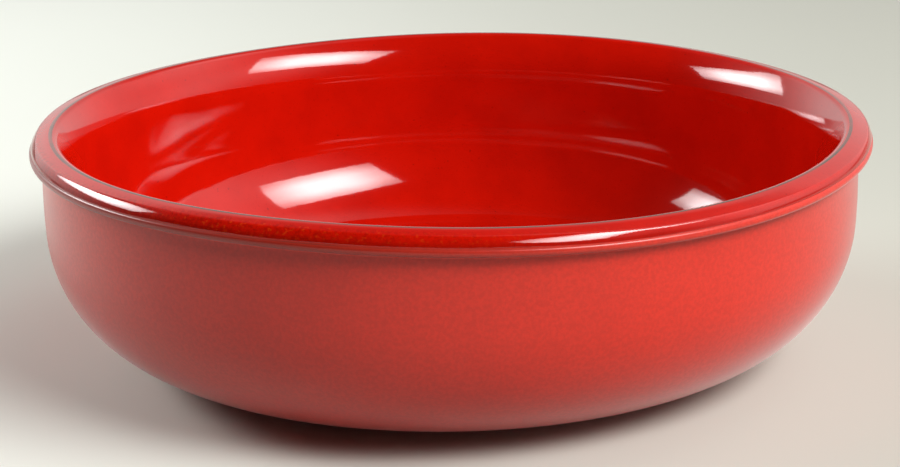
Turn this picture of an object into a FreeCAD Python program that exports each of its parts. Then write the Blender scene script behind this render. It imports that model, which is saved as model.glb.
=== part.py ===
import FreeCAD, Part
import math
import os
from FreeCAD import Vector

# Overall size, over the coats; the bowl stands on Z = 0 and turns about Z
bowl_diameter = 260.0
bowl_height = 74.0

# Coats on the clay
gloss_thickness = 0.6
slip_thickness = 0.3

# Rolled rim of the clay: insets from its widest ring, drops from its crest
crest_inset = 7.5
roll_top_inset = 4.8
roll_top_drop = 0.35
arris_inset = 2.3
arris_drop = 1.0
shoulder_inset = 0.9
shoulder_drop = 2.6
belt_drop = 4.6
roll_foot_drop = 5.6
cove_inset = 3.7
cove_drop = 6.8
crest_rounding = 2.0
roll_top_rounding = 12.0
arris_rounding = 0.8
shoulder_rounding = 0.9
belt_rounding = 1.2
roll_foot_rounding = 0.9
cove_rounding = 0.9

# Inner face of the rim, rounded from the crest into the wall
rim_face_drop = 7.7
rim_face_rounding = 20.8

# Wall and belly of the clay, outside
waist_drop = 23.8
waist_rounding = 130.0
belly_inset = 5.8
belly_corner_height = 6.4
belly_rounding = 41.6

# Wall, belly and floor of the clay, inside
wall_thickness = 9.5
inner_belly_height = 28.5
inner_belly_rounding = 42.6
inner_floor_inset = 15.6
inner_floor_rounding = 19.5
floor_thickness = 6.8
floor_rise = 0.3

# Turned foot ring
foot_diameter = 152.0
foot_width = 6.0
foot_height = 4.2
foot_taper = 0.8
foot_edge_rounding = 0.7
foot_root_rounding = 1.0
recess_depth = 3.0
recess_dome = 0.4

# Derived places
clay_rim_radius = bowl_diameter / 2 - slip_thickness
clay_top = bowl_height - gloss_thickness
foot_radius = foot_diameter / 2
foot_inner_radius = foot_radius - foot_width
recess_height = recess_depth + recess_dome
axis_start = Vector(0, 0, 0)
axis_direction = Vector(0, 0, 1)
full_turn = 360.0


def corner(radius, height, rounding=0.0):
    """A corner of an outline in the half plane beside the axis."""
    return (radius, height, rounding)


def middle(first, last):
    """The point half way between two corners."""
    return corner((first[0] + last[0]) / 2, (first[1] + last[1]) / 2)


def heading(start, end):
    """Direction of a run, as an angle."""
    return math.atan2(end[1] - start[1], end[0] - start[0])


def turn_at(before, here, after):
    """Signed angle by which an outline turns at a corner, left turns above zero."""
    turn = heading(here, after) - heading(before, here)
    return math.remainder(turn, 2 * math.pi)


def tangent_length(before, here, after):
    """Length of each run that the rounding of a corner takes up."""
    return here[2] * abs(math.tan(turn_at(before, here, after) / 2))


def fitted(corners):
    """The same corners, with roundings no larger than their runs have room for."""
    lengths = [0.0]
    for before, here, after in zip(corners, corners[1:], corners[2:]):
        lengths.append(tangent_length(before, here, after))
    lengths.append(0.0)
    room = []
    for index, (start, end) in enumerate(zip(corners, corners[1:])):
        taken = lengths[index] + lengths[index + 1]
        run = math.dist(start[:2], end[:2])
        room.append(min(1.0, run / taken) if taken else 1.0)
    limits = [min(pair) for pair in zip([1.0] + room, room + [1.0])]
    return [corner(r, z, rounding * limit) for (r, z, rounding), limit in zip(corners, limits)]


def beside(corners, distance):
    """The outline that runs parallel to another, to its left by a distance."""
    moved = []
    for index, here in enumerate(corners):
        before = corners[max(index - 1, 0)]
        after = corners[min(index + 1, len(corners) - 1)]
        arriving = heading(before, here) if before is not here else heading(here, after)
        leaving = heading(here, after) if after is not here else arriving
        if here[0] == 0:
            moved.append(corner(0, here[1] + distance / math.cos(leaving)))
            continue
        turn = math.remainder(leaving - arriving, 2 * math.pi)
        outward = arriving + turn / 2 + math.pi / 2
        reach = distance / math.cos(turn / 2)
        rounding = here[2] - math.copysign(distance, turn) if here[2] else 0.0
        radius = here[0] + reach * math.cos(outward)
        moved.append(corner(radius, here[1] + reach * math.sin(outward), rounding))
    return moved


def point(radius, height):
    return Vector(radius, 0, height)


def on_run(here, towards, distance):
    """Point on the run from one corner towards another."""
    share = distance / math.dist(here[:2], towards[:2])
    radius = here[0] + (towards[0] - here[0]) * share
    return point(radius, here[1] + (towards[1] - here[1]) * share)


def arc_middle(before, here, after):
    """Middle point of the rounding of a corner."""
    turn = turn_at(before, here, after)
    inward = heading(before, here) + turn / 2 + math.copysign(math.pi / 2, turn)
    reach = here[2] / math.cos(turn / 2) - here[2]
    return point(here[0] + reach * math.cos(inward), here[1] + reach * math.sin(inward))


def outline(corners):
    """Edges of straight runs joined by tangent arcs."""
    edges = []
    last = point(*corners[0][:2])
    for before, here, after in zip(corners, corners[1:], corners[2:]):
        length = tangent_length(before, here, after)
        start = on_run(here, before, length)
        if not start.isEqual(last, Part.Precision.confusion()):
            edges.append(Part.LineSegment(last, start).toShape())
        last = start
        if length:
            end = on_run(here, after, length)
            edges.append(Part.Arc(start, arc_middle(before, here, after), end).toShape())
            last = end
    edges.append(Part.LineSegment(last, point(*corners[-1][:2])).toShape())
    return edges


def turned(edges):
    """Solid that a closed outline sweeps in a full turn about the axis."""
    face = Part.Face(Part.Wire(Part.__sortEdges__(edges)))
    solid = face.revolve(axis_start, axis_direction, full_turn)
    return solid.removeSplitter() if solid.isValid() else solid


def coat(corners, thickness):
    """A coat of steady thickness on a stretch of the clay."""
    outer = beside(corners, thickness)
    caps = [
        Part.LineSegment(point(*corners[0][:2]), point(*outer[0][:2])).toShape(),
        Part.LineSegment(point(*corners[-1][:2]), point(*outer[-1][:2])).toShape(),
    ]
    return turned(outline(corners) + outline(outer) + caps)


def outer_wall_corners():
    """Cove under the roll, upright wall and belly, from the top down."""
    cove = corner(clay_rim_radius - cove_inset, clay_top - cove_drop, cove_rounding)
    waist = corner(clay_rim_radius - cove_inset, clay_top - waist_drop, waist_rounding)
    belly = corner(clay_rim_radius - belly_inset, belly_corner_height, belly_rounding)
    return [cove, waist, belly]


def rim_corners():
    """Crest, top, arris, shoulder and widest belt of the rolled rim, from the inside out."""
    crest = corner(clay_rim_radius - crest_inset, clay_top, crest_rounding)
    roll_top = corner(clay_rim_radius - roll_top_inset, clay_top - roll_top_drop, roll_top_rounding)
    arris = corner(clay_rim_radius - arris_inset, clay_top - arris_drop, arris_rounding)
    shoulder = corner(clay_rim_radius - shoulder_inset, clay_top - shoulder_drop, shoulder_rounding)
    belt = corner(clay_rim_radius, clay_top - belt_drop, belt_rounding)
    return [crest, roll_top, arris, shoulder, belt]


def inside_corners():
    """Floor, inner belly, inner wall and inner face of the rim, from the centre up."""
    inner_wall_radius = clay_rim_radius - cove_inset - wall_thickness
    floor_height = recess_height + floor_thickness
    centre = corner(0, floor_height)
    floor_edge_radius = inner_wall_radius - inner_floor_inset
    floor_edge = corner(floor_edge_radius, floor_height + floor_rise, inner_floor_rounding)
    belly = corner(inner_wall_radius, inner_belly_height, inner_belly_rounding)
    rim_face = corner(inner_wall_radius, clay_top - rim_face_drop, rim_face_rounding)
    return [centre, floor_edge, belly, rim_face]


def foot_corners():
    """Root, standing face and recess of the turned foot ring, from the outside in."""
    outer_root = corner(foot_radius + foot_taper, foot_height, foot_root_rounding)
    outer_edge = corner(foot_radius, 0, foot_edge_rounding)
    inner_edge = corner(foot_inner_radius, 0, foot_edge_rounding)
    inner_root = corner(foot_inner_radius - foot_taper, recess_depth, foot_root_rounding)
    return [outer_root, outer_edge, inner_edge, inner_root]


def clay_stretches():
    """The outline of the clay, cut where its coats begin and end."""
    *rim, shoulder, belt = rim_corners()
    glaze_line = middle(shoulder, belt)
    roll_foot = corner(clay_rim_radius, clay_top - roll_foot_drop, roll_foot_rounding)
    outer_root, outer_edge, inner_edge, inner_root = foot_corners()
    outer_wipe_line = middle(outer_root, outer_edge)
    inner_wipe_line = middle(inner_edge, inner_root)
    recess_centre = corner(0, recess_height)
    whole = fitted(
        inside_corners() + rim + [shoulder, glaze_line, belt, roll_foot] + outer_wall_corners()
        + [outer_root, outer_wipe_line, outer_edge, inner_edge, inner_wipe_line]
        + [inner_root, recess_centre]
    )
    cuts = [0]
    for line in (glaze_line, outer_wipe_line, inner_wipe_line):
        cuts.append(whole.index(line))
    cuts.append(len(whole) - 1)
    return [whole[start:end + 1] for start, end in zip(cuts, cuts[1:])]


def clay_body(stretches):
    """Thrown and turned body, bare only where it stands."""
    corners = stretches[0] + [here for stretch in stretches[1:] for here in stretch[1:]]
    axis_line = Part.LineSegment(point(*corners[-1][:2]), point(*corners[0][:2])).toShape()
    return turned(outline(corners) + [axis_line])


def build():
    glazed, slipped, standing, recess = clay_stretches()
    return {
        "clay_body": clay_body([glazed, slipped, standing, recess]),
        "inner_gloss_glaze": coat(glazed, gloss_thickness),
        "outer_satin_slip": coat(slipped, slip_thickness),
        "foot_recess_slip": coat(recess, slip_thickness),
    }


os.makedirs("parts", exist_ok=True)
for node, shape in build().items():
    shape.exportStep("parts/" + node + ".step")
    box = shape.optimalBoundingBox()
    print(node, shape.ShapeType, len(shape.Solids), shape.isValid(),
          round(shape.Volume), round(box.XLength, 2), round(box.ZMin, 2), round(box.ZMax, 2))
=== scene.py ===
import math

import bpy
import numpy as np
from mathutils import Matrix, Vector


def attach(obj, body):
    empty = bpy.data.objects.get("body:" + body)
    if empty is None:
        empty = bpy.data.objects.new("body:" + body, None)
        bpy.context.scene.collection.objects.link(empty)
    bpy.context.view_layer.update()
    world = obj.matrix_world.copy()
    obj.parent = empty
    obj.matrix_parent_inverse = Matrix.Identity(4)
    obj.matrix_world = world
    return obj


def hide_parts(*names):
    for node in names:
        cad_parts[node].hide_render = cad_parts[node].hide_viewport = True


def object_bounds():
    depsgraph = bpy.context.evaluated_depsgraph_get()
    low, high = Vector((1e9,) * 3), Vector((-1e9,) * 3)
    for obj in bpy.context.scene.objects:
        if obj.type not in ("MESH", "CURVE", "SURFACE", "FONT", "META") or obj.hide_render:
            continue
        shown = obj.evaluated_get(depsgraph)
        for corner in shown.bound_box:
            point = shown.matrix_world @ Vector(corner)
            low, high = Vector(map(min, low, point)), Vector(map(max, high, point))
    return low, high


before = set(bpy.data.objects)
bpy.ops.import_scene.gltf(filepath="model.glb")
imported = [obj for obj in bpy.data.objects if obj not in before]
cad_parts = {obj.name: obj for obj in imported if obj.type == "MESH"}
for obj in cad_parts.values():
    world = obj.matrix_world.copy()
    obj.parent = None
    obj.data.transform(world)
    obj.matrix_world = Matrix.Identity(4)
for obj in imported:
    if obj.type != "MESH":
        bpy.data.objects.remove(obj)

CAD_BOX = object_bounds()
MM = 0.001

# Overall size, over the coats; the bowl stands on Z = 0 and turns about Z
BOWL_RADIUS = CAD_BOX[1].x
BOWL_HEIGHT = 74.0 * MM

# Coats on the clay
GLOSS_THICKNESS = 0.6 * MM
SLIP_THICKNESS = 0.3 * MM
COAT_BITE = 0.1 * MM

# Rolled rim of the clay: insets from its widest ring, drops from its crest
CREST_INSET = 7.5 * MM
ROLL_TOP_INSET = 4.8 * MM
ROLL_TOP_DROP = 0.35 * MM
ARRIS_INSET = 2.3 * MM
ARRIS_DROP = 1.0 * MM
SHOULDER_INSET = 0.9 * MM
SHOULDER_DROP = 2.6 * MM
BELT_DROP = 4.6 * MM
ROLL_FOOT_DROP = 5.6 * MM
COVE_INSET = 3.7 * MM
COVE_DROP = 6.8 * MM
CREST_ROUNDING = 2.0 * MM
ROLL_TOP_ROUNDING = 12.0 * MM
ARRIS_ROUNDING = 0.8 * MM
SHOULDER_ROUNDING = 0.9 * MM
BELT_ROUNDING = 1.2 * MM
ROLL_FOOT_ROUNDING = 0.9 * MM
COVE_ROUNDING = 0.9 * MM

# The arris where the potter left it crisp, to the camera's right
CRISP_ARRIS_INSET = 1.1 * MM
CRISP_ARRIS_DROP = 1.5 * MM
CRISP_ARRIS_ROUNDING = 0.35 * MM
CRISP_SHOULDER_INSET = 0.6 * MM
CRISP_START = math.radians(10)
CRISP_FULL = math.radians(28)
CRISP_END = math.radians(140)

# Inner face of the rim, wall, belly and floor of the clay
RIM_FACE_DROP = 7.7 * MM
RIM_FACE_ROUNDING = 20.8 * MM
WALL_THICKNESS = 9.5 * MM
INNER_BELLY_HEIGHT = 28.5 * MM
INNER_BELLY_ROUNDING = 40.8 * MM
INNER_FLOOR_INSET = 15.6 * MM
INNER_FLOOR_ROUNDING = 18.6 * MM
FLOOR_THICKNESS = 6.8 * MM
FLOOR_RISE = 0.3 * MM

# Outside of the wall and belly
WAIST_DROP = 23.8 * MM
WAIST_ROUNDING = 130.0 * MM
BELLY_INSET = 5.8 * MM
BELLY_CORNER_HEIGHT = 6.4 * MM
BELLY_ROUNDING = 41.6 * MM

# Turned foot ring
FOOT_RADIUS = 76.0 * MM
FOOT_WIDTH = 6.0 * MM
FOOT_HEIGHT = 4.2 * MM
FOOT_TAPER = 0.8 * MM
FOOT_EDGE_ROUNDING = 0.7 * MM
FOOT_ROOT_ROUNDING = 1.0 * MM
RECESS_DEPTH = 3.0 * MM
RECESS_DOME = 0.4 * MM

# Fineness of the meshes
SEGMENTS = 480
RING_SPACING = 1.4 * MM
BACK_SPACING = 6.0 * MM
ARC_STEP = math.radians(6)
CAP_STEPS = 6
ON_AXIS = 1e-7
ANGLES = np.arange(SEGMENTS) * 2 * math.pi / SEGMENTS

# Slow waves of the hand-thrown rim, each as a count round the bowl and its two parts
LEVEL_WAVES = (
    (0, 0.10 * MM, 0),
    (1, -0.24 * MM, -0.17 * MM),
    (2, 0.09 * MM, 0.48 * MM),
    (3, 0.21 * MM, 0.04 * MM),
    (4, 0.18 * MM, -0.25 * MM),
)
OUTWARD_WAVES = (
    (1, 0.34 * MM, -0.11 * MM),
    (2, 0.11 * MM, -0.12 * MM),
    (3, -0.04 * MM, -0.10 * MM),
)
LEVEL_START = 15.0 * MM
LEVEL_FULL = 68.0 * MM
OUTWARD_START = 58.0 * MM
OUTWARD_FULL = 69.0 * MM

# Edge of the gloss, which thins and runs a little further down over the slip in places
EDGE_BEAD = 0.5 * MM
EDGE_CLEARANCE = 1.001
EDGE_RUN = 2.5 * MM
EDGE_TAPER = 0.35
EDGE_DROP = 0.22 * MM
EDGE_WAVES = (
    (5, 0.30, 0.22),
    (9, -0.25, 0.20),
    (16, 0.18, -0.22),
    (31, -0.10, 0.12),
)

# Where the gloss thins to brown over the crest, and the mottled stretch of the roll's top
CREST_LINE_PLACE = 0.10 * MM
CREST_LINE_CORE = 0.28 * MM
CREST_LINE_EDGE = 0.85 * MM
MOTTLE_START = 1.5 * MM
MOTTLE_FULL = 4.0 * MM
MOTTLE_FADE = 60.0 * MM
MOTTLE_RIGHT_SHARE = 0.2

# Painted shade: the gloss darker over the roll's lower face, below its highlight, down to its edge,
# where it reflects the dark room
PAINTED_ROLL_SHADE_START = 5.0 * MM
PAINTED_ROLL_SHADE_FULL = 8.5 * MM
PAINTED_ROLL_SHADE_SHARE = 0.45

# Painted shade on the slip under the roll and into the cove, measured from the glaze's edge and
# strongest on the left, away from the key lamp; also a dark line at the glaze's edge and a painted shade
# line in the cove
SHADE_BAND_CORE = 3.4 * MM
SHADE_BAND_EDGE = 5.2 * MM
SHADE_BAND_FADE = (-60.0 * MM, 90.0 * MM)
SHADE_BAND_LEFT_SHARE = 0.72
EDGE_LINE_AND_COVE_SHADE = (0.35 * MM, 2.9 * MM)
LINE_AND_SHADE_WIDTH = 0.28 * MM

# Camera: place, aimed point, roll and lens that repeat the photograph's view
CAMERA_PLACE = Vector((0, -0.8073, 0.2759))
CAMERA_AIM = Vector((-0.0004, 0, 0.0361))
CAMERA_ROLL = math.radians(-0.941)
CAMERA_LENS = 106.82
CAMERA_SENSOR = 36
CAMERA_NEAR = 0.01

# Softboxes: heading (0 faces the camera's side, above zero to the right) and height in degrees,
# half sizes as tangents, tilt in their own plane, radiance
KEY_LAMP = dict(
    heading=50.2, height=38.9, half_width=0.370, half_height=0.228, tilt=0.040, radiance=18.2
)
SIDE_LAMP = dict(
    heading=-113.3, height=24.5, half_width=0.335, half_height=0.144, tilt=0.120, radiance=16.5
)

# Distance of the softboxes from the rim, and how they dim from their core to their edge
LAMP_DISTANCE = 1.82
LAMP_CORE_SHARE = 0.25
LAMP_EDGE_SHARE = 0.42

# Pale walls of the studio, in soft patches: heading, height and spread in degrees, radiance
PALE_PATCHES = (
    (-120, 7, 14, 0.45),
    (-150, 8, 14, 0.90),
    (180, 6, 14, 0.62),
    (150, 8, 14, 0.60),
    (120, 6, 14, 0.55),
    (90, 6, 14, 0.80),
    (-150, 28, 13, 0.70),
    (-120, 28, 13, 0.20),
    (60, 28, 13, 0.75),
    (90, 28, 13, 0.50),
    (150, 28, 13, 0.32),
    (120, 50, 15, 1.50),
)
ROOM_GLOW = 0.005
ROOM_COLOUR = (1, 0.985, 0.96, 1)

# The dark ceiling behind the bowl: the height and depth of a direction where it begins and is full
DARK_ABOVE = (0.50, 0.62)
DARK_BEHIND = (0.35, 0.60)
DARK_SHARE = 0.6

# Finish colours and their painted shade, and the floor's colours, linear
GLAZE_RED = (0.57, 0.006, 0.001, 1)
GLAZE_DEEP = (0.30, 0.002, 0.0005, 1)
GLAZE_BROWN = (0.105, 0.045, 0.030, 1)
GLAZE_ORANGE = (0.62, 0.045, 0.004, 1)
# Dark of the glaze's pits and spots, also used for the painted shade on the roll's lower face
GLAZE_DARK_AND_SHADE = (0.16, 0.003, 0.001, 1)
SLIP_RED = (0.71, 0.028, 0.012, 1)
SLIP_DARK = (0.45, 0.014, 0.006, 1)
SLIP_PAINTED_SHADE = (0.23, 0.016, 0.007, 1)
SLIP_LINE_AND_COVE_SHADE = (0.11, 0.018, 0.012, 1)
CLAY_COLOUR = (0.56, 0.27, 0.16, 1)
CLAY_DARK = (0.40, 0.18, 0.11, 1)
FLOOR_LEFT = (0.90, 0.93, 0.86, 1)
FLOOR_RIGHT_SHADED = (0.56, 0.56, 0.49, 1)
FLOOR_BOUNCE = (0.36, 0.36, 0.33, 1)
FLOOR_FAR_SHADED = (0.48, 0.49, 0.45, 1)

# Floor: its size, the painted shade that turns it darker to the right, and the distances where it turns
# to its darker far colour
FLOOR_RADIUS = 12.0
FLOOR_SIDES = 64
FLOOR_SHADE_TURN = 0.30
FLOOR_WANDER = 0.08
FLOOR_NEAR_AND_FAR = (0.40, 1.20)

# Spots of the finishes: scale per metre, detail and roughness of their noise, then the values
# between which they grow from least to most
GLAZE_CLOUDS = dict(scale=55, detail=4, roughness=0.6, low=0.35, high=0.68, most=0.22)
GLAZE_SPECKS = dict(scale=1500, detail=2, roughness=0.6, low=0.64, high=0.72, most=0.5)
GLAZE_PITS = dict(scale=620, detail=1, roughness=0.5, low=0.76, high=0.80, most=0.45)
DARK_SPOTS = dict(scale=800, detail=3, roughness=0.65, low=0.42, high=0.66, most=0.40)
WARM_SPOTS = dict(scale=1000, detail=2, roughness=0.6, low=0.56, high=0.70, most=0.55)
CREST_PATCHES = dict(scale=60, detail=3, roughness=0.6, low=0.3, high=0.7, least=0.6)
SLIP_GRAIN = dict(scale=900, detail=3, roughness=0.6, low=0.3, high=0.7, most=0.42)
SLIP_CLOUDS = dict(scale=40, detail=3, roughness=0.55, low=0.4, high=0.7, most=0.15)
LINE_PATCHES = dict(scale=45, detail=3, roughness=0.6, low=0.35, high=0.6, least=0.35)
CLAY_GRAIN = dict(scale=1100, detail=4, roughness=0.65, low=0.3, high=0.7)
FLOOR_NOISE = dict(scale=3, detail=2, roughness=0.5)

# Relief of the finishes: scale per metre, detail and roughness of its noise, and depth
GLAZE_SWELLS = dict(scale=30, detail=1, roughness=0.4, depth=0.020 * MM)
GLAZE_RIPPLES = dict(scale=260, detail=2, roughness=0.5, depth=0.012 * MM)
SLIP_TOOTH = dict(scale=1300, detail=2, roughness=0.5, depth=0.02 * MM)
CLAY_TOOTH = dict(scale=1500, detail=3, roughness=0.6, depth=0.08 * MM)

# How the surfaces shine
GLOSS_SHINE = {"Roughness": 0.06, "IOR": 1.60}
SATIN_SHINE = {
    "Roughness": 0.5,
    "IOR": 1.25,
    "Coat Weight": 0.75,
    "Coat Roughness": 0.20,
    "Coat IOR": 1.45,
    "Sheen Weight": 0.25,
    "Sheen Roughness": 0.35,
}
CLAY_SHINE = {"Roughness": 0.85, "IOR": 1.45}
FLOOR_SHINE = {"Roughness": 0.8, "IOR": 1.4}

# Vertex attribute that measures along a coat: the gloss from its crest, the slip from the glaze line
ALONG = "along_outline"


def corner(radius, height, rounding=0.0):
    """A corner of an outline in the half plane beside the axis."""
    return (radius, height, rounding)


def middle(first, last):
    """The point half way between two corners."""
    return corner((first[0] + last[0]) / 2, (first[1] + last[1]) / 2)


def left_of(direction):
    """A direction turned left by a right angle."""
    return np.array((-direction[1], direction[0]))


def trace(corners, spacing, counts=None):
    """Points along an outline of runs and roundings, the normals on its left, and the steps taken.

    Given the steps of a like outline, it takes as many, so that the two can be blended."""
    places = [np.array(corners[0][:2])]
    normals = []
    wanted = iter(counts or ())
    taken = []

    def steps_for(amount):
        taken.append(next(wanted, max(1, math.ceil(amount))))
        return taken[-1]

    def add_run(end, normal):
        length = np.linalg.norm(end - places[-1])
        steps = steps_for(length / spacing)
        start = places[-1]
        for step in range(1, steps + 1):
            places.append(start + (end - start) * step / steps)
            normals.append(normal)

    for before, here, after in zip(corners, corners[1:], corners[2:]):
        at = np.array(here[:2])
        arriving = (at - before[:2]) / math.dist(at, before[:2])
        leaving = (after[:2] - at) / math.dist(at, after[:2])
        turn = math.atan2(arriving[0] * leaving[1] - arriving[1] * leaving[0], arriving @ leaving)
        reach = here[2] * abs(math.tan(turn / 2))
        side = left_of(arriving)
        if not normals:
            normals.append(side)
        add_run(at - arriving * reach, side)
        if not reach:
            continue
        radius = math.copysign(here[2], turn)
        centre = places[-1] + side * radius
        steps = steps_for(max(abs(turn) / ARC_STEP, abs(turn * radius) / spacing))
        for step in range(1, steps + 1):
            angle = turn * step / steps
            normal = side * math.cos(angle) + left_of(side) * math.sin(angle)
            places.append(centre - normal * radius)
            normals.append(normal)
    end = np.array(corners[-1][:2])
    add_run(end, left_of((end - places[-1]) / np.linalg.norm(end - places[-1])))
    return np.array(places), np.array(normals), taken


def clay_stretches(crisp=False):
    """The clay's outline from the inner centre over the rim and under the foot, cut where coats end."""
    rim_radius = BOWL_RADIUS - SLIP_THICKNESS
    top = BOWL_HEIGHT - GLOSS_THICKNESS
    inner_radius = rim_radius - COVE_INSET - WALL_THICKNESS
    floor_height = RECESS_DEPTH + RECESS_DOME + FLOOR_THICKNESS
    inner_foot = FOOT_RADIUS - FOOT_WIDTH
    arris = corner(rim_radius - ARRIS_INSET, top - ARRIS_DROP, ARRIS_ROUNDING)
    shoulder = corner(rim_radius - SHOULDER_INSET, top - SHOULDER_DROP, SHOULDER_ROUNDING)
    if crisp:
        arris = corner(rim_radius - CRISP_ARRIS_INSET, top - CRISP_ARRIS_DROP, CRISP_ARRIS_ROUNDING)
        shoulder = corner(rim_radius - CRISP_SHOULDER_INSET, top - SHOULDER_DROP, SHOULDER_ROUNDING)
    belt = corner(rim_radius, top - BELT_DROP, BELT_ROUNDING)
    glaze_line = middle(shoulder, belt)
    outer_root = corner(FOOT_RADIUS + FOOT_TAPER, FOOT_HEIGHT, FOOT_ROOT_ROUNDING)
    outer_edge = corner(FOOT_RADIUS, 0, FOOT_EDGE_ROUNDING)
    inner_edge = corner(inner_foot, 0, FOOT_EDGE_ROUNDING)
    inner_root = corner(inner_foot - FOOT_TAPER, RECESS_DEPTH, FOOT_ROOT_ROUNDING)
    outer_wipe_line = middle(outer_root, outer_edge)
    inner_wipe_line = middle(inner_edge, inner_root)
    glazed = [
        corner(0, floor_height),
        corner(inner_radius - INNER_FLOOR_INSET, floor_height + FLOOR_RISE, INNER_FLOOR_ROUNDING),
        corner(inner_radius, INNER_BELLY_HEIGHT, INNER_BELLY_ROUNDING),
        corner(inner_radius, top - RIM_FACE_DROP, RIM_FACE_ROUNDING),
        corner(rim_radius - CREST_INSET, top, CREST_ROUNDING),
        corner(rim_radius - ROLL_TOP_INSET, top - ROLL_TOP_DROP, ROLL_TOP_ROUNDING),
        arris,
        shoulder,
        glaze_line,
    ]
    slipped = [
        glaze_line,
        belt,
        corner(rim_radius, top - ROLL_FOOT_DROP, ROLL_FOOT_ROUNDING),
        corner(rim_radius - COVE_INSET, top - COVE_DROP, COVE_ROUNDING),
        corner(rim_radius - COVE_INSET, top - WAIST_DROP, WAIST_ROUNDING),
        corner(rim_radius - BELLY_INSET, BELLY_CORNER_HEIGHT, BELLY_ROUNDING),
        outer_root,
        outer_wipe_line,
    ]
    standing = [outer_wipe_line, outer_edge, inner_edge, inner_wipe_line]
    recess = [inner_wipe_line, inner_root, corner(0, RECESS_DEPTH + RECESS_DOME)]
    return glazed, slipped, standing, recess


def slow_waves(angle, waves):
    """The sum of a few slow waves round the bowl."""
    return sum(even * np.cos(count * angle) + odd * np.sin(count * angle) for count, even, odd in waves)


def eased(value, low, high):
    """0 below low, 1 above high, and smooth between them."""
    share = np.clip((value - low) / (high - low), 0, 1)
    return share * share * (3 - 2 * share)


def thrown(places, crisp=None):
    """Rings of points round the bowl from an outline's points, with the slow waves of a thrown rim."""
    angle = ANGLES[None, :]
    heading = np.mod(angle + math.pi / 2, 2 * math.pi)
    radius = places[:, 0, None] + 0 * angle
    height = places[:, 1, None] + 0 * angle
    if crisp is not None:
        share = eased(heading, CRISP_START, CRISP_FULL) * (1 - eased(heading, CRISP_FULL, CRISP_END))
        radius = radius + share * (crisp[:, 0, None] - radius)
        height = height + share * (crisp[:, 1, None] - height)
    radius = radius + eased(height, OUTWARD_START, OUTWARD_FULL) * slow_waves(angle, OUTWARD_WAVES)
    height = height + eased(height, LEVEL_START, LEVEL_FULL) * slow_waves(angle, LEVEL_WAVES)
    return np.stack([radius * np.cos(angle), radius * np.sin(angle), height], axis=-1)


def placed(name, data):
    """An object of the scene that shows the given mesh, light or camera."""
    thing = bpy.data.objects.new(name, data)
    bpy.context.scene.collection.objects.link(thing)
    return thing


def lathe(name, rings, closed, along=None):
    """A mesh of rings of points. A ring on the axis becomes one point."""
    count, around = rings.shape[:2]
    flat = rings.reshape(-1, 3)
    index = np.arange(count * around).reshape(count, around)
    for ring in (0, count - 1):
        if np.hypot(rings[ring, :, 0], rings[ring, :, 1]).max() < ON_AXIS:
            index[ring] = index[ring, 0]
    pairs = [(ring, ring + 1) for ring in range(count - 1)]
    if closed:
        pairs.append((count - 1, 0))
    used = np.unique(index)
    renumber = np.zeros(count * around, int)
    renumber[used] = np.arange(len(used))
    index = renumber[index]
    faces = []
    for low, high in pairs:
        here, there = index[low], index[high]
        for a, b, c, d in zip(here, there, np.roll(there, -1), np.roll(here, -1)):
            if a == d:
                faces.append((a, b, c))
            elif b == c:
                faces.append((a, b, d))
            else:
                faces.append((a, b, c, d))
    mesh = bpy.data.meshes.new(name)
    mesh.from_pydata(flat[used].tolist(), [], [tuple(int(v) for v in face) for face in faces])
    mesh.shade_smooth()
    if along is not None:
        spread = np.repeat(along, around)[used].astype(np.float32)
        mesh.attributes.new(ALONG, "FLOAT", "POINT").data.foreach_set("value", spread)
    mesh.update()
    return placed(name, mesh)


def distances(places):
    """The distance along a row of points, at each of them."""
    steps = np.linalg.norm(np.diff(places, axis=0), axis=1)
    return np.concatenate([[0], np.cumsum(steps)])


def rounded_end(places, normals, thickness, width, taper):
    """Front of a coat that thins over its last stretch, up to a rounded edge of the given width."""
    run = distances(places)
    tangent = -left_of(normals[-1])
    keep = run < run[-1] - width * EDGE_CLEARANCE
    start = places[-1] - tangent * width
    share = 1 - taper * eased(run, run[-1] - EDGE_RUN, run[-1] - width)
    front = places[keep] + (normals * (thickness * share)[:, None])[keep]
    turns = np.linspace(0, math.pi / 2, CAP_STEPS + 1)
    edge = thickness * (1 - taper)
    cap = [start + tangent * width * math.sin(t) + normals[-1] * edge * math.cos(t) for t in turns]
    return np.vstack([front, cap])


def back_of(corners, counts=None):
    """Back of a coat just under the clay's skin, from the last corner to the first, and its steps."""
    places, normals, counts = trace(corners, BACK_SPACING, counts)
    return (places - normals * COAT_BITE)[::-1], counts


def put_ends_on_axis(outline):
    """Moves both ends of an outline onto the axis."""
    outline[0, 0] = 0
    outline[-1, 0] = 0


def held(values, count):
    """Values along a coat's front, with the last one repeated over its back."""
    return np.concatenate([values, np.full(count, values[-1])])


glazed, slipped, standing, recess = clay_stretches()
crisp_glazed, crisp_slipped, _, _ = clay_stretches(crisp=True)


def glaze_outline(corners, counts=None, back_counts=None):
    """Front of the gloss coat to its rounded edge, and its back; also its front's length and steps."""
    places, normals, counts = trace(corners, RING_SPACING, counts)
    front = rounded_end(places, normals, GLOSS_THICKNESS, EDGE_BEAD, EDGE_TAPER)
    back, back_counts = back_of(corners, back_counts)
    outline = np.vstack([front, back])
    put_ends_on_axis(outline)
    return outline, len(front), counts, back_counts


def build_glaze():
    """The gloss coat: floor, wall, rim face, crest and roll, to its rounded edge on the widest ring."""
    outline, front_count, counts, back_counts = glaze_outline(glazed)
    crisp = glaze_outline(crisp_glazed, counts, back_counts)[0]
    back_count = len(outline) - front_count
    run = distances(outline[:front_count])
    lowered = np.concatenate([eased(run, run[-1] - EDGE_RUN, run[-1]), np.zeros(back_count)])
    rings = thrown(outline, crisp)
    rings[..., 2] -= EDGE_DROP * lowered[:, None] * (1 + slow_waves(ANGLES[None, :], EDGE_WAVES))
    crest = run[np.argmax(outline[:front_count, 1])]
    return lathe("Gloss_glaze", rings, False, held(run, back_count) - crest)


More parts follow.
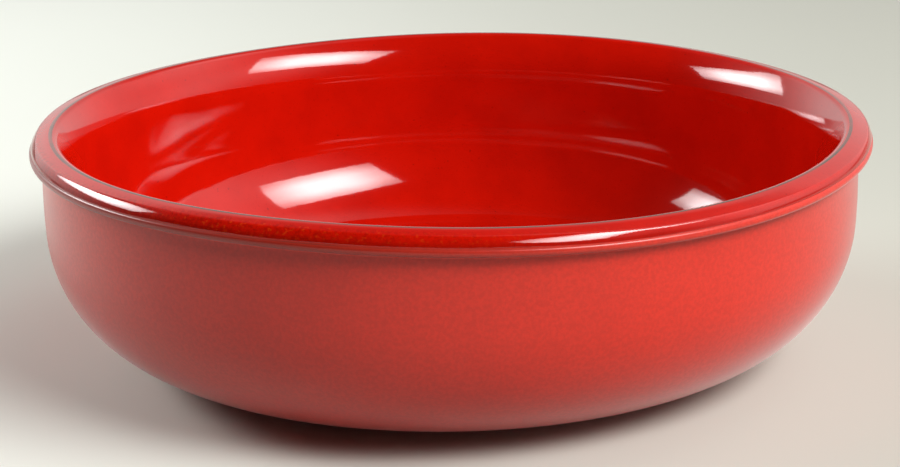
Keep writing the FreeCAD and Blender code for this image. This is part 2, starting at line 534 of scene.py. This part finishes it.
def slip_outline(corners, counts=None, back_counts=None):
    """Front of the satin coat and its back; also its front's length and steps."""
    places, normals, counts = trace(corners, RING_SPACING, counts)
    back, back_counts = back_of(corners, back_counts)
    outline = np.vstack([places + normals * SLIP_THICKNESS, back])
    return outline, len(places), counts, back_counts


def build_slip():
    """The satin coat: underside of the roll, cove, wall, belly and outer side of the foot."""
    outline, front_count, counts, back_counts = slip_outline(slipped)
    crisp = slip_outline(crisp_slipped, counts, back_counts)[0]
    along = held(distances(outline[:front_count]), len(outline) - front_count)
    return lathe("Satin_slip", thrown(outline, crisp), True, along)


def build_recess():
    """The satin coat inside the foot ring."""
    places, normals, _ = trace(recess, RING_SPACING)
    front = places + normals * SLIP_THICKNESS
    back, _ = back_of(recess)
    outline = np.vstack([back, front])
    put_ends_on_axis(outline)
    along = np.roll(held(distances(front), len(back)), len(back))
    return lathe("Recess_slip", thrown(outline), False, along)


def build_clay():
    """The fired clay under the coats, bare on the standing ring."""
    foot = standing[1:] + recess[1:]
    places, _, counts = trace(glazed + slipped[1:] + foot, BACK_SPACING)
    crisp = trace(crisp_glazed + crisp_slipped[1:] + foot, BACK_SPACING, counts)[0]
    put_ends_on_axis(places)
    put_ends_on_axis(crisp)
    return lathe("Clay_body", thrown(places, crisp), False)


class Shader:
    """The nodes of a material, light or world, added and joined by short calls."""

    def __init__(self, owner):
        owner.use_nodes = True
        self.tree = owner.node_tree
        self.tree.nodes.clear()

    def add(self, kind, inputs=None, **settings):
        """A new node, with its settings and inputs."""
        node = self.tree.nodes.new(kind)
        for name, value in settings.items():
            setattr(node, name, value)
        for key, value in (inputs or {}).items():
            self.put(value, node.inputs[key])
        return node

    def put(self, value, socket):
        """Joins another node's output to a socket, or sets the socket to a value."""
        if isinstance(value, bpy.types.NodeSocket):
            self.tree.links.new(value, socket)
        else:
            socket.default_value = value

    def math(self, operation, first, second=0.0):
        return self.add("ShaderNodeMath", {0: first, 1: second}, operation=operation).outputs[0]

    def times(self, first, second):
        return self.math("MULTIPLY", first, second)

    def gap(self, value, middle_value):
        """How far a value is from another one."""
        return self.math("ABSOLUTE", self.math("SUBTRACT", value, middle_value))

    def vector(self, operation, first, second=(0, 0, 0)):
        inputs = {0: first, 1: second}
        return self.add("ShaderNodeVectorMath", inputs, operation=operation).outputs["Value"]

    def parts(self, vector):
        return self.add("ShaderNodeSeparateXYZ", {0: vector}).outputs

    def ramp(self, value, low, high, low_to=0.0, high_to=1.0):
        """A smooth change from one result below low to another above high."""
        inputs = {
            "Value": value,
            "From Min": low,
            "From Max": high,
            "To Min": low_to,
            "To Max": high_to,
        }
        node = self.add("ShaderNodeMapRange", inputs, interpolation_type="SMOOTHSTEP")
        return node.outputs["Result"]

    def mix(self, share, first, second):
        """A share of the second colour in the first. Inputs 6 and 7 are the node's two colours."""
        node = self.add("ShaderNodeMix", {0: share, 6: first, 7: second}, data_type="RGBA")
        return node.outputs[2]

    def place(self):
        return self.add("ShaderNodeTexCoord").outputs["Object"]

    def along(self):
        return self.add("ShaderNodeAttribute", attribute_name=ALONG).outputs["Fac"]

    def noise(self, place, scale, detail, roughness):
        inputs = {"Vector": place, "Scale": scale, "Detail": detail, "Roughness": roughness}
        return self.add("ShaderNodeTexNoise", inputs).outputs["Fac"]

    def spots(self, place, scale, detail, roughness, low, high, least=0.0, most=1.0):
        """Noise that grows from least to most between two of its values."""
        return self.ramp(self.noise(place, scale, detail, roughness), low, high, least, most)

    def relief(self, place, scale, detail, roughness, depth, under=None):
        """A normal made uneven by noise, on top of another where that is given."""
        height = self.noise(place, scale, detail, roughness)
        inputs = {"Height": height, "Distance": depth, "Strength": 1.0}
        if under is not None:
            inputs["Normal"] = under
        return self.add("ShaderNodeBump", inputs).outputs["Normal"]

    def surface(self, colour, shine, normal=None):
        """The material's surface, with its shine set on the shader's own sockets."""
        inputs = {"Base Color": colour, **shine}
        if normal is not None:
            inputs["Normal"] = normal
        shader = self.add("ShaderNodeBsdfPrincipled", inputs)
        self.add("ShaderNodeOutputMaterial", {"Surface": shader.outputs[0]})


def gloss_material():
    """Thick warm red glaze: cloudy, specked, mottled on the roll, brown where it thins on the crest,
    with painted shade on the roll's lower face.
    """
    material = bpy.data.materials.new("gloss_red_glaze")
    s = Shader(material)
    place = s.place()
    along = s.along()
    colour = s.mix(s.spots(place, **GLAZE_CLOUDS), GLAZE_RED, GLAZE_DEEP)
    colour = s.mix(s.spots(place, **GLAZE_SPECKS), colour, GLAZE_DEEP)
    colour = s.mix(s.spots(place, **GLAZE_PITS), colour, GLAZE_DARK_AND_SHADE)
    across = s.parts(place)["X"]
    left_share = s.ramp(across, -MOTTLE_FADE, MOTTLE_FADE, 1.0, MOTTLE_RIGHT_SHARE)
    rolled = s.times(s.ramp(along, MOTTLE_START, MOTTLE_FULL), left_share)
    colour = s.mix(s.times(s.spots(place, **DARK_SPOTS), rolled), colour, GLAZE_DARK_AND_SHADE)
    colour = s.mix(s.times(s.spots(place, **WARM_SPOTS), rolled), colour, GLAZE_ORANGE)
    # Painted shade: the roll's lower face darkened towards the glaze's edge
    painted_roll_shade = s.ramp(along, PAINTED_ROLL_SHADE_START, PAINTED_ROLL_SHADE_FULL, 0.0, PAINTED_ROLL_SHADE_SHARE)
    colour = s.mix(painted_roll_shade, colour, GLAZE_DARK_AND_SHADE)
    crest_gap = s.gap(along, CREST_LINE_PLACE)
    thin = s.ramp(crest_gap, CREST_LINE_CORE, CREST_LINE_EDGE, 1.0, 0.0)
    colour = s.mix(s.times(thin, s.spots(place, **CREST_PATCHES)), colour, GLAZE_BROWN)
    swells = s.relief(place, **GLAZE_SWELLS)
    s.surface(colour, GLOSS_SHINE, s.relief(place, **GLAZE_RIPPLES, under=swells))
    return material


def satin_material():
    """Thin burnished slip: satin red with a fine grain, with browner painted shade and dark lines under
    the roll beside the glaze's edge.
    """
    material = bpy.data.materials.new("satin_red_slip")
    s = Shader(material)
    place = s.place()
    along = s.along()
    colour = s.mix(s.spots(place, **SLIP_GRAIN), SLIP_RED, SLIP_DARK)
    colour = s.mix(s.spots(place, **SLIP_CLOUDS), colour, SLIP_DARK)
    # Painted shade: browner slip under the roll, fading out to the right where the key lamp falls
    left_share = s.ramp(s.parts(place)["X"], *SHADE_BAND_FADE, SHADE_BAND_LEFT_SHARE, 0.0)
    painted_shade_band = s.times(s.ramp(along, SHADE_BAND_CORE, SHADE_BAND_EDGE, 1.0, 0.0), left_share)
    colour = s.mix(painted_shade_band, colour, SLIP_PAINTED_SHADE)
    # A dark line at the glaze's edge, and a painted shade line in the cove
    line_and_shade_share = s.times(s.spots(place, **LINE_PATCHES), left_share)
    for line in EDGE_LINE_AND_COVE_SHADE:
        drawn = s.ramp(s.gap(along, line), 0.0, LINE_AND_SHADE_WIDTH, 1.0, 0.0)
        colour = s.mix(s.times(drawn, line_and_shade_share), colour, SLIP_LINE_AND_COVE_SHADE)
    s.surface(colour, SATIN_SHINE, s.relief(place, **SLIP_TOOTH))
    return material


def clay_material():
    """Bare fired clay with a fine sandy grain."""
    material = bpy.data.materials.new("fired_clay")
    s = Shader(material)
    place = s.place()
    colour = s.mix(s.spots(place, **CLAY_GRAIN), CLAY_COLOUR, CLAY_DARK)
    s.surface(colour, CLAY_SHINE, s.relief(place, **CLAY_TOOTH))
    return material


def floor_material():
    """Pale paper with painted shade, darker to the right and far off under the lamps; it throws back
    less than it shows.
    """
    material = bpy.data.materials.new("pale_floor")
    s = Shader(material)
    place = s.place()
    # Painted shade: the floor's colour darker to the right and far off, evening out the lamps' light
    wander = s.times(s.noise(place, **FLOOR_NOISE), FLOOR_WANDER)
    turn = s.ramp(s.math("ADD", s.parts(place)["X"], wander), -FLOOR_SHADE_TURN, FLOOR_SHADE_TURN)
    pale = s.mix(turn, FLOOR_LEFT, FLOOR_RIGHT_SHADED)
    away = s.vector("LENGTH", place)
    pale = s.mix(s.ramp(away, *FLOOR_NEAR_AND_FAR), pale, FLOOR_FAR_SHADED)
    rays = s.add("ShaderNodeLightPath").outputs
    seen = s.math("MAXIMUM", rays["Is Camera Ray"], rays["Is Glossy Ray"])
    seen = s.math("MAXIMUM", seen, rays["Is Transmission Ray"])
    s.surface(s.mix(seen, FLOOR_BOUNCE, pale), FLOOR_SHINE)
    return material


def heading_vector(heading, height):
    """Direction from the bowl: heading 0 is the camera's side, above zero to the right."""
    turn = math.radians(heading)
    rise = math.radians(height)
    level = math.cos(rise)
    return Vector((math.sin(turn) * level, -math.cos(turn) * level, math.sin(rise)))


def build_lamp(name, heading, height, half_width, half_height, tilt, radiance):
    """A softbox that faces the rim's centre and dims towards its edges."""
    towards = heading_vector(heading, height)
    side = Vector((math.cos(math.radians(heading)), math.sin(math.radians(heading)), 0))
    up = towards.cross(side)
    across = side * math.cos(tilt) + up * math.sin(tilt)
    rise = up * math.cos(tilt) - side * math.sin(tilt)
    light = bpy.data.lights.new(name, "AREA")
    light.shape = "RECTANGLE"
    light.size = 2 * half_width * LAMP_DISTANCE
    light.size_y = 2 * half_height * LAMP_DISTANCE
    light.energy = radiance * math.pi * light.size * light.size_y
    s = Shader(light)
    parts = s.parts(s.add("ShaderNodeNewGeometry").outputs["Parametric"])
    fade = 1.0
    for part in (parts["X"], parts["Y"]):
        from_centre = s.gap(s.times(part, 2.0), 1.0)
        fade = s.times(s.ramp(from_centre, LAMP_CORE_SHARE, 1.0, 1.0, LAMP_EDGE_SHARE), fade)
    glow = s.add("ShaderNodeEmission", {"Strength": fade})
    s.add("ShaderNodeOutputLight", {"Surface": glow.outputs[0]})
    lamp = placed(name, light)
    centre = towards * LAMP_DISTANCE + Vector((0, 0, BOWL_HEIGHT))
    facing = Matrix((across, rise, towards)).transposed().to_4x4()
    lamp.matrix_world = Matrix.Translation(centre) @ facing
    lamp.visible_camera = False


def build_world():
    """Pale walls to the right, the left and behind, and a dark room on the camera's side."""
    world = bpy.data.worlds.new("studio")
    bpy.context.scene.world = world
    s = Shader(world)
    direction = s.add("ShaderNodeTexCoord").outputs["Generated"]
    total = ROOM_GLOW
    for heading, height, spread, radiance in PALE_PATCHES:
        facing = s.vector("DOT_PRODUCT", direction, heading_vector(heading, height))
        away = s.math("DIVIDE", s.math("SUBTRACT", facing, 1.0), math.radians(spread) ** 2)
        total = s.math("ADD", s.times(s.math("EXPONENT", away), radiance), total)
    parts = s.parts(direction)
    dark = s.times(s.ramp(parts["Z"], *DARK_ABOVE), s.ramp(parts["Y"], *DARK_BEHIND))
    shade = s.math("SUBTRACT", 1.0, s.times(dark, DARK_SHARE))
    room = {"Color": ROOM_COLOUR, "Strength": s.times(total, shade)}
    background = s.add("ShaderNodeBackground", room)
    s.add("ShaderNodeOutputWorld", {"Surface": background.outputs[0]})


def build_floor():
    """A round floor that keeps the bowl's shadow."""
    turns = np.arange(FLOOR_SIDES) * 2 * math.pi / FLOOR_SIDES
    points = [(math.cos(t) * FLOOR_RADIUS, math.sin(t) * FLOOR_RADIUS, 0) for t in turns]
    mesh = bpy.data.meshes.new("Floor")
    mesh.from_pydata(points, [], [tuple(range(FLOOR_SIDES))])
    floor = placed("Floor", mesh)
    floor.data.materials.append(floor_material())


def build_camera():
    """The photograph's viewpoint."""
    camera = placed("Camera", bpy.data.cameras.new("Camera"))
    camera.data.lens = CAMERA_LENS
    camera.data.sensor_width = CAMERA_SENSOR
    camera.data.clip_start = CAMERA_NEAR
    forward = CAMERA_AIM - CAMERA_PLACE
    turn = forward.to_track_quat("-Z", "Y").to_matrix() @ Matrix.Rotation(CAMERA_ROLL, 3, "Z")
    camera.matrix_world = Matrix.Translation(CAMERA_PLACE) @ turn.to_4x4()
    bpy.context.scene.camera = camera


def dress(piece, material, nodes):
    """Gives a piece its material and body, and hides the CAD nodes that it stands for."""
    piece.data.materials.append(material)
    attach(piece, "root")
    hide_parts(*nodes)


satin = satin_material()
dress(build_glaze(), gloss_material(), ["inner_gloss_glaze"])
dress(build_slip(), satin, ["outer_satin_slip"])
dress(build_recess(), satin, ["foot_recess_slip"])
dress(build_clay(), clay_material(), ["clay_body"])
build_floor()
build_lamp("Key_softbox", **KEY_LAMP)
build_lamp("Side_softbox", **SIDE_LAMP)
build_world()
build_camera()
bpy.context.scene.view_settings.view_transform = "Standard"
